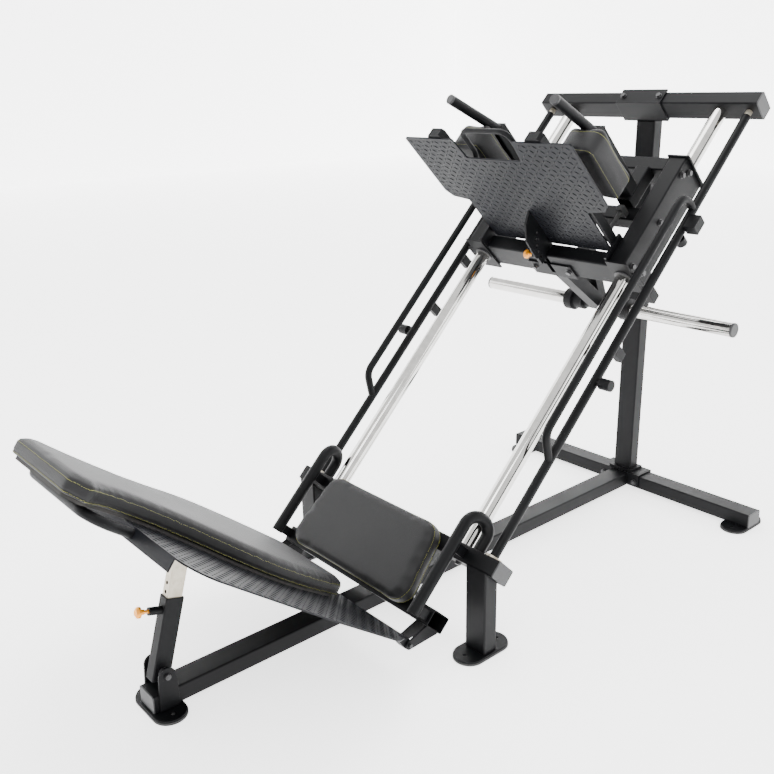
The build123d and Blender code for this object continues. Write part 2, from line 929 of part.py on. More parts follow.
def shoulder_pad(s):
    """Closed cushion of one shoulder pad."""
    with BuildPart() as piece:
        with BuildSketch(section(slope, shoulder_back)):
            add(shoulder_outline(s, 0.0, shoulder_high))
        extrude(amount=shoulder_back - shoulder_face)
        fillet(piece.faces().sort_by(Axis((0, 0, 0), slope.y_dir))[0].edges(), shoulder_edge)
    return piece.part


def shoulder_backing(s):
    """Padded back of a shoulder pad, against its post."""
    with BuildPart() as piece:
        with BuildSketch(section(slope, post_u - bar_half)):
            add(shoulder_outline(s, backing_inset, post_top_v - 5))
        extrude(amount=post_u - bar_half - shoulder_back)
    return piece.part


keep("shoulder_pad_left", shoulder_pad(-1), shoulder_backing(-1))
keep("shoulder_pad_right", shoulder_pad(1), shoulder_backing(1))

handle_radius = 16.0
handle_tip = (211.0, -508.0, 567.0)
handle_root = (195.0, post_u, post_top_v)
handle_cap = 8.0
handle_wall = 3.0
handle_over = 20.0
handle_round = 2.0


def handle_line(s, overrun):
    """Plane at the root of a shoulder handle facing its tip, and its length."""
    root = slope.from_local_coords((s * handle_root[0], handle_root[1], handle_root[2]))
    tip = slope.from_local_coords((s * handle_tip[0], handle_tip[1], handle_tip[2]))
    direction = (tip - root).normalized()
    return Plane(origin=root - direction * overrun, z_dir=direction), (tip - root).length


def shoulder_handle(s):
    """Handle tube with its foot cut flat on top of the support post."""
    plane, length = handle_line(s, handle_over)
    with BuildPart() as piece:
        add(disc(plane, handle_radius, length + handle_over - handle_cap,
                 handle_radius - handle_wall))
        split(bisect_by=slope.offset(post_top_v), keep=Keep.TOP)
    return piece.part


def shoulder_handle_cap(s):
    """Round cap on the tip of a shoulder handle."""
    plane, length = handle_line(s, 0)
    with BuildPart() as piece:
        add(disc(plane.offset(length - handle_cap), handle_radius, handle_cap))
        fillet(piece.edges().group_by(Axis((0, 0, 0), plane.z_dir))[-1], handle_round)
    return piece.part


keep("shoulder_handles", *both(shoulder_handle))

# ---------------------------------------------------------------- weight horn
horn_u = -628.0
horn_v = -337.0
horn_core = 20.0
horn_core_half = 60.0
collar_outer = 39.0
collar_small = 30.0
collar_step = 104.0
horn_start = 136.0
horn_end = 522.0
horn_radius = 24.0
horn_cap = 8.0
horn_cap_round = 3.0
hanger_half = 25.0
hanger_over = 5.0
hanger_lead = 60.0
front_hanger_size = 44.0
rear_hanger_size = 36.0


def horn_disc(x_from, x_to, radius, bore=0.0):
    """Cylinder on the horn's axis between two x positions."""
    origin = slope.from_local_coords((x_from, horn_u, horn_v))
    return disc(Plane(origin=origin, z_dir=(1, 0, 0)), radius, x_to - x_from, bore)


with BuildPart() as horn_core_tube:
    add(horn_disc(-horn_end, horn_end, horn_core))
    for s in (-1, 1):
        add(horn_disc(*span(s, collar_step, horn_start), collar_outer))
        add(horn_disc(*span(s, horn_core_half, collar_step), collar_small))
nodes["horn_core"] = horn_core_tube


def horn_sleeve(s):
    """Chromed sleeve that carries the weight plates."""
    return horn_disc(*span(s, horn_start, horn_end), horn_radius, horn_core)


keep("horn_sleeves", *both(horn_sleeve))


def horn_end_cap(s):
    """Rounded cap over the end of a plate horn."""
    with BuildPart() as piece:
        add(horn_disc(*span(s, horn_end, horn_end + horn_cap), horn_radius))
        fillet(piece.edges().group_by(Axis.X)[-1 if s > 0 else 0], horn_cap_round)
    return piece.part


keep("sled_caps", *both(horn_end_cap), *both(shoulder_handle_cap))


def hanger_bar(start, size, top_v):
    """Bar from a cross tube down to the horn, cut square to the tube above."""
    begin = Vector(0, start[0], start[1])
    finish = Vector(0, horn_u, horn_v)
    line = finish - begin
    turned = degrees(atan2(line.Z, line.Y))
    middle = begin + line.normalized() * ((line.length - hanger_lead) / 2)
    with BuildPart() as piece:
        with BuildSketch(side(slope, -hanger_half)):
            with Locations(Location((middle.Y, middle.Z, 0), (0, 0, turned))):
                Rectangle(line.length + hanger_lead, size)
        extrude(amount=2 * hanger_half)
        split(bisect_by=slope.offset(top_v), keep=Keep.BOTTOM)
        add(horn_disc(-hanger_half - hanger_over, hanger_half + hanger_over, horn_core), mode=Mode.SUBTRACT)
    return piece.part


middle_bottom = middle_v - half_narrow
front_hanger = hanger_bar((lower_u, lower_bottom), front_hanger_size, lower_bottom - saddle_plate)
rear_hanger = hanger_bar((middle_u, middle_bottom), rear_hanger_size, middle_bottom)
with BuildPart() as hanger:
    add(rear_hanger)
    add(front_hanger)
nodes["hanger"] = hanger

# ---------------------------------------------------------------- foot plate
pivot_u = -628.0
pivot_v = 62.0
plate_face = -648.0
plate_back = -643.0
press_half = rail_half_gap + 38.0
arm_thick = 12.0
lug_in = house_in - 10.0
arm_out = lug_in - 1.0
arm_in = arm_out - arm_thick
press_neck_half = arm_in - 2.0
press_low = lower_top + 3.0
press_step = 250.0
press_neck = 238.0
press_high = 540.0
notch_low = 456.0
notch_low_half = 112.0
notch_high_half = 122.0
press_shoulder = (22.0, 30.0)
press_round = 8.0

with BuildPart() as press_plate:
    with BuildSketch(section(slope, plate_back)) as outline:
        with BuildLine():
            right = [
                (press_neck_half, press_low), (press_neck_half, press_neck),
                (press_half - press_shoulder[0], press_step),
                (press_half, press_step + press_shoulder[1]),
                (press_half, press_high), (notch_high_half, press_high),
                (notch_low_half, notch_low),
            ]
            Polyline(*right, *[(-x, v) for x, v in reversed(right)], close=True)
        make_face()
        fillet(outline.vertices(), press_round)
    extrude(amount=plate_back - plate_face)
nodes["press_plate"] = press_plate

arm_high = 305.0
arm_back = plate_back + 30.0
stub_over = 6.0
pivot_radius = 8.0


def press_arm(s):
    """Flat arm from the pivot up the back of the foot plate."""
    across = span(s, arm_in, arm_out)
    with BuildPart() as piece:
        with BuildSketch(side(slope, across[0])):
            with Locations(((plate_back + arm_back) / 2, (pivot_v + arm_high) / 2)):
                Rectangle(arm_back - plate_back, arm_high - pivot_v)
            with Locations((pivot_u, pivot_v)):
                Circle((arm_back - plate_back) / 2)
                Circle(pivot_radius + running_gap, mode=Mode.SUBTRACT)
        extrude(amount=arm_out - arm_in)
    return piece.part


lug_half = 24.0


def pivot_bracket(s):
    """Bracket on a housing's inner face with the foot plate's pivot stub."""
    across = span(s, lug_in, house_in)
    with BuildPart() as piece:
        add(block(slope, across, (house_low, pivot_u + lug_half),
                  (pivot_v - lug_half, pivot_v + lug_half)))
        add(block(slope, across, (house_low, lower_back),
                  (lower_bottom, lower_top + 1)), mode=Mode.SUBTRACT)
        stub = Plane(origin=slope.from_local_coords((s * lug_in, pivot_u, pivot_v)),
                     z_dir=(-s, 0, 0))
        add(disc(stub, pivot_radius, lug_in - arm_in + stub_over))
    return piece.part


keep("pivot_brackets", *both(pivot_bracket))

rib_x = 200.0
rib_half = 30.0
rib_deep = 28.0
rib_low = 246.0
rib_high = 552.0
rib_chamfer = 9.0


def press_rib(s):
    """Box rib on the back of the foot plate with chamfered top corners."""
    with BuildPart() as piece:
        with BuildSketch(section(slope, plate_back + rib_deep)) as outline:
            with Locations((s * rib_x, (rib_low + rib_high) / 2)):
                Rectangle(2 * rib_half, rib_high - rib_low)
            chamfer(outline.vertices().group_by(Axis.Y)[-1], rib_chamfer)
        extrude(amount=rib_deep)
    return piece.part


keep("press_ribs", *both(press_rib))
keep("press_arms", *both(press_arm))

press_loop_x = 96.0
press_loop_top = 553.0
press_loop_radius = 8.0
press_loop_u = plate_back + 22.0
press_loop_bend = 32.0
press_loop_foot = notch_low - 70.0
with BuildPart() as press_loop:
    half = [(press_loop_x, plate_face - press_loop_radius, press_loop_foot),
            (press_loop_x, press_loop_u, notch_low), (press_loop_x, press_loop_u, press_loop_top)]
    add(swept_tube(
        [slope.from_local_coords(at) for at in (
            *half, *[(-x, u, v) for x, u, v in reversed(half)])],
        press_loop_bend, press_loop_radius, press_loop_radius - loop_wall,
    ))
    split(bisect_by=section(slope, plate_back), keep=Keep.BOTTOM)
nodes["press_loop_handle"] = press_loop

sector_half = 4.0
lock_u = -712.0
lock_v = 58.0
lock_reach = ((lock_u - pivot_u) ** 2 + (lock_v - pivot_v) ** 2) ** 0.5
lock_angle = degrees(atan2(lock_v - pivot_v, lock_u - pivot_u))
lock_step = 15.0
lock_steps = 4
sector_outline = (
    (0.0, 215.0), (-42.0, 195.0), (-76.0, 150.0), (-84.0, 75.0),
    (-64.0, 42.0), (-42.0, 20.0), (0.0, -8.0),
)
sector_round = 12.0

with BuildPart() as press_sector:
    with BuildSketch(side(slope, -sector_half)) as outline:
        with BuildLine():
            Polyline(*[(plate_face + u, v) for u, v in sector_outline], close=True)
        make_face()
        fillet(outline.vertices().group_by(Axis.X)[0], sector_round)
        with Locations((pivot_u, pivot_v)):
            for step in range(lock_steps + 1):
                turned = radians(lock_angle - step * lock_step)
                with Locations((lock_reach * cos(turned), lock_reach * sin(turned))):
                    Circle(pin_radius + running_gap, mode=Mode.SUBTRACT)
    extrude(amount=2 * sector_half)
nodes["press_sector"] = press_sector

lock_barrel_in = 12.0
lock_barrel_out = 30.0
lock_barrel_radius = pin_radius + 5.0
lock_foot_across = (-lock_barrel_out + 2.0, -lock_barrel_in - 2.0)
lock_foot_v = 14.0
lock_foot_high = 40.0
with BuildPart() as lock_barrel:
    start = slope.from_local_coords((-lock_barrel_in, lock_u, lock_v))
    bore_line = Plane(origin=start, z_dir=(-1, 0, 0))
    saddle_front = lower_front - saddle_plate
    add(block(slope, lock_foot_across, (lock_u - 2, saddle_front - apart), (lock_foot_v, lock_v)))
    add(block(slope, lock_foot_across, (saddle_front - 1, lower_front),
              (lock_foot_v, lock_foot_high)))
    add(disc(bore_line, lock_barrel_radius, lock_barrel_out - lock_barrel_in))
    add(disc(bore_line, pin_radius + running_gap, lock_barrel_out), mode=Mode.SUBTRACT)
nodes["lock_barrel"] = lock_barrel

lock_pin_tip = sector_half + 2
lock_pin_start = slope.from_local_coords((-lock_pin_tip, lock_u, lock_v))
keep("lock_pin", pin_with_knob(Plane(origin=lock_pin_start, z_dir=(-1, 0, 0)),
                               drawn_shaft(lock_barrel_out, lock_pin_tip)))

stop_x = 212.0
stop_v = 72.0
stop_rubber = 13.0
stop_rubber_long = 20.0
stop_rod = 7.0
stop_lug = (12.0, 20.0, 14.0)
stop_gap = 5.0


def plate_stop(s):
    """Rubber-tipped stop the foot plate leans back on."""
    post_front = middle_u - half_narrow
    with BuildPart() as piece:
        lug_front = post_front + stop_gap
        add(block(slope, (s * stop_x - stop_lug[0], s * stop_x + stop_lug[0]),
                  (lug_front, lug_front + stop_lug[1]), (middle_top, stop_v + stop_lug[2])))
        front = spot(slope, (s * stop_x, lug_front, stop_v), (0, -1, 0))
        rod = lug_front - plate_back - apart - stop_rubber_long
        add(disc(front, stop_rod, rod))
        add(disc(front.offset(rod), stop_rubber, stop_rubber_long))
    return piece.part


keep("plate_stops", *both(plate_stop))

# ---------------------------------------------------------------- safety handles
loop_v = 79.0
loop_high_u = -424.0
loop_low_u = -1300.0
loop_root_u = -1351.0
loop_radius = 12.5
lug_lengths = 55.0
stop_us = (-730.0, -950.0)
peg_u = -527.0
rubber_u = -1072.0
stop_lug_half = (10.0, 16.0)
outer_lug = (50.0, (-503.0, -455.0), 18.0)
peg_radius = 17.0
peg_reach = 38.0
rubber_stem = (9.0, 12.0)
rubber_size = (17.5, 36.0)
weld_sink = 2.0
safety_top = rod_top - safety_stud_length - apart
safety_foot = rod_bottom + safety_seat_thick + apart


def safety_rod(s):
    """Turning rod of one safety handle."""
    plane = spot(slope, (s * safety_half_gap, safety_foot, 0), (0, 1, 0))
    return disc(plane, safety_radius, safety_top - safety_foot)


def safety_loop(s):
    """Bent handle welded to the rod at both ends."""
    x = s * safety_half_gap
    with BuildPart() as piece:
        add(swept_tube(
            [slope.from_local_coords(at) for at in (
                (x, loop_high_u, 0), (x, loop_high_u, loop_v), (x, loop_low_u, loop_v),
                (x, loop_root_u, 0))],
            loop_bend, loop_radius, loop_radius - loop_wall))
        plane = spot(slope, (x, safety_foot, 0), (0, 1, 0))
        add(disc(plane, safety_radius, safety_top - safety_foot), mode=Mode.SUBTRACT)
        solids = piece.part.solids().sort_by(SortBy.VOLUME)
    return solids[-1]


def safety_stops(s):
    """Stop lugs, outer lug, peg and rubber stop carried by one safety rod."""
    x = s * safety_half_gap
    inner = safety_radius - weld_sink
    with BuildPart() as piece:
        for u in stop_us:
            add(block(slope, (x - stop_lug_half[0], x + stop_lug_half[0]),
                      (u - stop_lug_half[1], u + stop_lug_half[1]), (-lug_lengths, -inner)))
        reach, along, half_v = outer_lug
        add(block(slope, span(s, safety_half_gap + inner, safety_half_gap + reach), along,
                  (-half_v, half_v)))
        add(disc(spot(slope, (x, peg_u, -inner), (0, 0, -1)), peg_radius, peg_reach - inner))
        add(disc(spot(slope, (x + s * inner, rubber_u, 0), (s, 0, 0)), *rubber_stem))
        tip = inner + rubber_stem[1]
        add(disc(spot(slope, (x + s * tip, rubber_u, 0), (s, 0, 0)), *rubber_size))
        plane = spot(slope, (x, safety_foot, 0), (0, 1, 0))
        add(disc(plane, safety_radius, safety_top - safety_foot), mode=Mode.SUBTRACT)
    return piece.part


for name, s in (("left", -1), ("right", 1)):
    keep(f"safety_rod_{name}", safety_rod(s))
    keep(f"safety_loop_{name}", safety_loop(s))
    keep(f"safety_stops_{name}", safety_stops(s))

# ---------------------------------------------------------------- bolts
housing_bolt_us = ((-300.0, 20.0), (-330.0, 45.0), (-500.0, 20.0), (-660.0, -30.0), (-680.0, 30.0))
saddle_bolt_x = 72.0
saddle_bolt_v = -24.0


def crossing_bolts(s, face_x, places):
    """Bolts on an outer face of the sled."""
    return [bolt(spot(slope, (s * face_x, u, v), (s, 0, 0))) for u, v in places]


keep(
    "frame_bolts",
    *[bolt(spot(slope, (s * saddle_bolt_x, 0, half_wide + saddle_plate), (0, 0, 1)))
      for s in (-1, 1)],
    *[bolt(spot(floor, (s * saddle_bolt_x, post_y - half_wide - saddle_plate,
                        base_z + half_narrow), (0, -1, 0))) for s in (-1, 1)],
    *[bolt(spot(slope, (s * rail_half_gap, half_narrow, 0), (0, 1, 0))) for s in (-1, 1)],
    *[bolt(spot(slope, (s * rail_half_gap, lower_bar_u - half_narrow, 0), (0, -1, 0)))
      for s in (-1, 1)],
)
keep(
    "sled_bolts",
    *[one for s in (-1, 1) for one in crossing_bolts(s, house_out, housing_bolt_us)],
    *[bolt(spot(slope, (s * saddle_bolt_x, lower_front - saddle_plate, saddle_bolt_v),
                 (0, -1, 0)))
      for s in (-1, 1)],
)

# ---------------------------------------------------------------- output
os.makedirs("parts", exist_ok=True)
for node, piece in nodes.items():
    piece.part.label = node
    export_step(piece.part, f"parts/{node}.step")
print(len(nodes), "nodes")
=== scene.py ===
"""Looks of the inclined leg press and hack squat machine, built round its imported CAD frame.

Metres, in the frame's own axes: +Z up, the user's end toward -Y.
"""

import json
import logging
import math
from dataclasses import dataclass, field
from enum import Enum
from typing import Iterable, Sequence

import bmesh
import bpy
from mathutils import Matrix, Vector
from mathutils.bvhtree import BVHTree
from mathutils.kdtree import KDTree


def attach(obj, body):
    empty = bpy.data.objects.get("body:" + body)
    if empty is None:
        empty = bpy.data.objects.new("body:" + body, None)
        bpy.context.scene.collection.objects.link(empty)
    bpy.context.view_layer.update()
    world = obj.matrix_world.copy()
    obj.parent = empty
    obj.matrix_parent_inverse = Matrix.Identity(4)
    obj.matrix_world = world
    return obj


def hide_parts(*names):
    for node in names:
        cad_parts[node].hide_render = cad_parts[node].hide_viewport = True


LOG = logging.getLogger("machine")
MM = 0.001
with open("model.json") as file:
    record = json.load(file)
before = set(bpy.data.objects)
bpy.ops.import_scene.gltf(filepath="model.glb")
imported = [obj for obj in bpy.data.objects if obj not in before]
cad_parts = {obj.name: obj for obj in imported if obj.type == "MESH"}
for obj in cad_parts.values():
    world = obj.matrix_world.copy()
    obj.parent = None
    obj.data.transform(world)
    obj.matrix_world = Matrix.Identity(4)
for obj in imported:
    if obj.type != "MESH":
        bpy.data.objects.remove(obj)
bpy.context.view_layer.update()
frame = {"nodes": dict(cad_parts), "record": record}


# ------------------------------------------------------------------ shader expressions
class Wire:
    """A node output that can be used in arithmetic."""

    def __init__(self, nodes: "Nodes", socket: bpy.types.NodeSocket) -> None:
        """Wrap a socket of a node tree."""
        self.nodes = nodes
        self.socket = socket

    def _maths(self, operation: str, *values: object) -> "Wire":
        """Add one Math node working on wires or numbers."""
        inputs = dict(enumerate(values))
        return self.nodes.add("ShaderNodeMath", {"operation": operation}, inputs)

    def __add__(self, other: object) -> "Wire":
        """Sum."""
        return self._maths("ADD", self, other)

    __radd__ = __add__

    def __sub__(self, other: object) -> "Wire":
        """Difference."""
        return self._maths("SUBTRACT", self, other)

    def __rsub__(self, other: object) -> "Wire":
        """Reflected difference."""
        return self._maths("SUBTRACT", other, self)

    def __mul__(self, other: object) -> "Wire":
        """Product."""
        return self._maths("MULTIPLY", self, other)

    __rmul__ = __mul__


class Nodes:
    """Builder for one material's node tree."""

    def __init__(self, name: str) -> None:
        """Start an empty material tree."""
        self.material = bpy.data.materials.new(name)
        self.material.use_nodes = True
        self.tree = self.material.node_tree
        self.tree.nodes.clear()

    def add(
        self,
        kind: str,
        settings: dict[str, object] | None = None,
        inputs: dict[object, object] | None = None,
        output: object = 0,
    ) -> Wire:
        """Add a node.

        Args:
            kind: the node's type name.
            settings: properties set before the inputs; "ramp" holds colour stops.
            inputs: values or wires by socket name or number.
            output: name or number of the output to return.

        Returns:
            The chosen output as a wire.
        """
        node = self.tree.nodes.new(kind)
        for key, value in (settings or {}).items():
            if key == "ramp":
                self._set_ramp(node, value)
            else:
                setattr(node, key, value)
        for key, value in (inputs or {}).items():
            target = node.inputs[key]
            if isinstance(value, Wire):
                self.tree.links.new(value.socket, target)
            else:
                target.default_value = value
        return Wire(self, node.outputs[output])

    @staticmethod
    def _set_ramp(node: bpy.types.Node, stops: Sequence[tuple[float, float]]) -> None:
        """Set grey stops of a colour ramp."""
        elements = node.color_ramp.elements
        while len(elements) < len(stops):
            elements.new(0.5)
        for element, (place, grey) in zip(elements, stops):
            element.position = place
            element.color = (grey, grey, grey, 1.0)

    def coordinates(self) -> Wire:
        """Object coordinates in metres."""
        return self.add("ShaderNodeTexCoord", output="Object")

    def noise(self, scale: float, detail: float = 4.0, rough: float = 0.55) -> Wire:
        """Noise value over the object."""
        inputs = {
            "Vector": self.coordinates(),
            "Scale": scale,
            "Detail": detail,
            "Roughness": rough,
        }
        return self.add("ShaderNodeTexNoise", None, inputs)

    def ramp(self, wire: Wire, stops: Sequence[tuple[float, float]]) -> Wire:
        """Grey ramp of a value."""
        return self.add("ShaderNodeValToRGB", {"ramp": stops}, {"Fac": wire})

    def mix(self, factor: object, first: Sequence[float], second: Sequence[float]) -> Wire:
        """Blend of two colours."""
        inputs = {0: factor, 6: (*first, 1.0), 7: (*second, 1.0)}
        return self.add("ShaderNodeMix", {"data_type": "RGBA"}, inputs, output=2)

    def bump(self, height: Wire, distance: float, strength: float, under: Wire | None = None) -> Wire:
        """Bump normal from a height in the range 0 to 1."""
        inputs: dict[object, object] = {
            "Height": height,
            "Distance": distance,
            "Strength": strength,
        }
        if under is not None:
            inputs["Normal"] = under
        return self.add("ShaderNodeBump", None, inputs)

    def soft_edges(self, radius: float) -> Wire:
        """Normal with its sharp edges rounded."""
        return self.add("ShaderNodeBevel", {"samples": 4}, {"Radius": radius})

    def finish(self, **inputs: object) -> bpy.types.Material:
        """Close the tree with the surface shader.

        Args:
            inputs: shader sockets, with underscores for spaces.

        Returns:
            The finished material.
        """
        sockets = {key.replace("_", " "): value for key, value in inputs.items()}
        surface = self.add("ShaderNodeBsdfPrincipled", None, sockets)
        out = self.tree.nodes.new("ShaderNodeOutputMaterial")
        self.tree.links.new(surface.socket, out.inputs["Surface"])
        return self.material


# ------------------------------------------------------------------ finishes
@dataclass(frozen=True)
class PowderCoat:
    """Satin black powder coat on steel, with fine orange peel."""

    name: str = "powder_coat"
    dark: tuple[float, float, float] = (0.0015, 0.0016, 0.002)
    light: tuple[float, float, float] = (0.0045, 0.0047, 0.0055)
    roughness: float = 0.42
    peel_scale: float = 900.0
    edge: float = 1.6 * MM
    specular: float = 0.13

    def build(self) -> bpy.types.Material:
        """Make the material."""
        nodes = Nodes(self.name)
        cloud = nodes.ramp(nodes.noise(7.0, 5.0), ((0.3, 0.0), (0.7, 1.0)))
        peel = nodes.noise(self.peel_scale, 2.0)
        normal = nodes.bump(peel, 0.12 * MM, 0.35, nodes.soft_edges(self.edge))
        return nodes.finish(
            Base_Color=nodes.mix(cloud, self.dark, self.light),
            Roughness=self.roughness + 0.1 * cloud,
            Normal=normal,
            Specular_IOR_Level=self.specular,
        )


@dataclass(frozen=True)
class HardChrome:
    """Polished chrome with faint drawing marks and handling haze."""

    name: str = "hard_chrome"
    tint: tuple[float, float, float] = (0.62, 0.61, 0.59)
    haze: tuple[float, float, float] = (0.5, 0.49, 0.47)
    roughness: float = 0.07

    def build(self) -> bpy.types.Material:
        """Make the material."""
        nodes = Nodes(self.name)
        smear = nodes.noise(28.0, 6.0)
        cloud = nodes.ramp(smear, ((0.4, 0.0), (0.75, 1.0)))
        return nodes.finish(
            Base_Color=nodes.mix(cloud, self.tint, self.haze),
            Metallic=1.0,
            Roughness=self.roughness + 0.07 * cloud,
            Normal=nodes.bump(nodes.noise(160.0), 0.05 * MM, 0.15),
        )


@dataclass(frozen=True)
class Vinyl:
    """Fine grained upholstery vinyl."""

    name: str = "vinyl"
    dark: tuple[float, float, float] = (0.004, 0.004, 0.0045)
    light: tuple[float, float, float] = (0.01, 0.01, 0.011)
    roughness: float = 0.5
    grain_scale: float = 620.0
    specular: float = 0.3

    def build(self) -> bpy.types.Material:
        """Make the material."""
        nodes = Nodes(self.name)
        inputs = {"Vector": nodes.coordinates(), "Scale": self.grain_scale}
        cells = nodes.add("ShaderNodeTexVoronoi", {"feature": "DISTANCE_TO_EDGE"}, inputs)
        grain = nodes.ramp(cells, ((0.0, 0.0), (0.22, 1.0)))
        cloud = nodes.noise(9.0, 4.0)
        rumple = nodes.bump(nodes.noise(26.0, 3.0), 0.8 * MM, 0.12)
        normal = nodes.bump(grain, 0.22 * MM, 0.5, rumple)
        shade = 0.35 * nodes.ramp(cloud, ((0.35, 0.0), (0.7, 1.0))) + 0.65 * grain
        return nodes.finish(
            Base_Color=nodes.mix(shade, self.dark, self.light),
            Roughness=self.roughness + 0.12 * cloud,
            Specular_IOR_Level=self.specular,
            Normal=normal,
        )


@dataclass(frozen=True)
class PlainCoat:
    """Matte or glossy plastic, rubber or lacquer with a mottled surface."""

    name: str
    dark: tuple[float, float, float]
    light: tuple[float, float, float]
    roughness: float
    mottle: float = 60.0
    metallic: float = 0.0
    relief: float = 0.15 * MM
    edge: float = 0.0

    def build(self) -> bpy.types.Material:
        """Make the material."""
        nodes = Nodes(self.name)
        cloud = nodes.ramp(nodes.noise(self.mottle, 4.0), ((0.35, 0.0), (0.65, 1.0)))
        fine = nodes.noise(self.mottle * 14.0, 2.0)
        under = nodes.soft_edges(self.edge) if self.edge else None
        return nodes.finish(
            Base_Color=nodes.mix(cloud, self.dark, self.light),
            Roughness=self.roughness + 0.1 * cloud,
            Metallic=self.metallic,
            Normal=nodes.bump(fine, self.relief, 0.3, under),
        )


class Finish(Enum):
    """Every finish on the machine, by the record's slot name where it has one."""

    BLACK_STEEL = "black_steel"
    TREAD_STEEL = "tread_steel"
    CHROME = "chrome"
    PLATED_STEEL = "plated_steel"
    ZINC_BOLTS = "zinc_bolts"
    RUBBER = "rubber"
    BLACK_PLASTIC = "black_plastic"
    VINYL = "vinyl"
    PLYWOOD = "plywood"
    GOLD_KNOB = "gold_knob"
    THREAD = "thread"


def make_finishes() -> dict[Finish, bpy.types.Material]:
    """Build every material.

    Returns:
        Material by finish.
    """
    plain = PlainCoat
    recipes = {
        Finish.BLACK_STEEL: PowderCoat(),
        Finish.TREAD_STEEL: PowderCoat(
            "tread_coat", (0.003, 0.0034, 0.0045), (0.008, 0.0085, 0.011), 0.4, 500.0
        ),
        Finish.CHROME: HardChrome(),
        Finish.PLATED_STEEL: plain(
            "plated_steel", (0.36, 0.32, 0.25), (0.5, 0.46, 0.38), 0.34, 35.0, 0.8
        ),
        Finish.ZINC_BOLTS: plain(
            "black_bolts", (0.02, 0.02, 0.021), (0.05, 0.05, 0.052), 0.3, 90.0, 0.4, edge=0.6 * MM
        ),
        Finish.RUBBER: plain("rubber", (0.012, 0.012, 0.012), (0.024, 0.024, 0.024), 0.7),
        Finish.BLACK_PLASTIC: plain(
            "black_plastic", (0.018, 0.018, 0.019), (0.032, 0.032, 0.034), 0.48, edge=1.0 * MM
        ),
        Finish.VINYL: Vinyl(),
        Finish.PLYWOOD: plain("plywood", (0.012, 0.011, 0.01), (0.022, 0.02, 0.018), 0.7, 30.0),
        Finish.GOLD_KNOB: plain("gold_knob", (0.75, 0.25, 0.01), (0.9, 0.38, 0.02), 0.16, 20.0, 0.3),
        Finish.THREAD: plain("thread", (0.2, 0.21, 0.04), (0.34, 0.34, 0.08), 0.75, 900.0),
    }
    return {finish: recipe.build() for finish, recipe in recipes.items()}


# ------------------------------------------------------------------ mesh helpers
def new_piece(name: str, mesh: bpy.types.Mesh, material: bpy.types.Material) -> bpy.types.Object:
    """Put a mesh in the scene as a piece with one material."""
    piece = bpy.data.objects.new(name, mesh)
    bpy.context.scene.collection.objects.link(piece)
    mesh.materials.clear()
    mesh.materials.append(material)
    return piece


def shade_smooth(mesh: bpy.types.Mesh) -> None:
    """Smooth every face."""
    mesh.polygons.foreach_set("use_smooth", [True] * len(mesh.polygons))


def only(thing: bpy.types.Object) -> None:
    """Make an object the only selected and active one."""
    for other in bpy.context.selected_objects:
        other.select_set(False)
    thing.select_set(True)
    bpy.context.view_layer.objects.active = thing


def baked(thing: bpy.types.Object) -> bpy.types.Mesh:
    """Plain mesh of an object with its modifiers applied."""
    depsgraph = bpy.context.evaluated_depsgraph_get()
    return bpy.data.meshes.new_from_object(thing.evaluated_get(depsgraph))


@dataclass
class FlatSide:
    """The largest flat side of a CAD node: its plane and its outline."""

    origin: Vector
    normal: Vector
    across: Vector
    along: Vector
    outline: list[Vector]
    depth: float

    @classmethod
    def of(cls, node: str) -> "FlatSide":
        """Read the largest flat side of a node.

        Args:
            node: name of the CAD node.

        Returns:
            Its plane, ordered outline in plane coordinates and the depth behind it.
        """
        source = bmesh.new()
        source.from_mesh(frame["nodes"][node].data)
        bmesh.ops.remove_doubles(source, verts=source.verts, dist=1e-6)
        bmesh.ops.dissolve_limit(
            source, angle_limit=math.radians(0.5), verts=source.verts, edges=source.edges
        )
        face = max(source.faces, key=lambda f: f.calc_area())
        normal = face.normal.copy()
        origin = face.calc_center_median()
        across = Vector((1, 0, 0))
        across = (across - normal * across.dot(normal)).normalized()
        along = normal.cross(across)
        outline = [
            Vector(((v.co - origin).dot(across), (v.co - origin).dot(along))) for v in face.verts
        ]
        depth = max((origin - v.co).dot(normal) for v in source.verts)
        source.free()
        return cls(origin, normal, across, along, outline, depth)

    def place(self, x: float, y: float, out: float) -> Vector:
        """Point of the plane's coordinates in the frame, out along the normal."""
        return self.origin + self.across * x + self.along * y + self.normal * out


def resample(loop: Sequence[Vector], step: float) -> list[Vector]:
    """Points at equal steps round a closed loop."""
    lengths = [(loop[i] - loop[i - 1]).length for i in range(len(loop))]
    total = sum(lengths)
    count = max(8, round(total / step))
    points: list[Vector] = []
    index, walked = 0, 0.0
    previous = loop[-1]
    for k in range(count):
        target = total * k / count
        while walked + lengths[index] < target:
            walked += lengths[index]
            previous = loop[index]
            index += 1
        share = (target - walked) / max(lengths[index], 1e-9)
        points.append(previous.lerp(loop[index], share))
    return points


def inset_loop(loop: Sequence[Vector], distance: float) -> list[Vector]:
    """Loop moved inward by a distance along its own normals."""
    count = len(loop)
    area = sum(
        loop[i - 1].x * loop[i].y - loop[i].x * loop[i - 1].y for i in range(count)
    )
    turn = 1.0 if area > 0 else -1.0
    moved = []
    for i, point in enumerate(loop):
        tangent = (loop[(i + 1) % count] - loop[i - 1]).normalized()
        inward = Vector((-tangent.y, tangent.x)) * turn
        moved.append(point + inward * distance)
    return moved


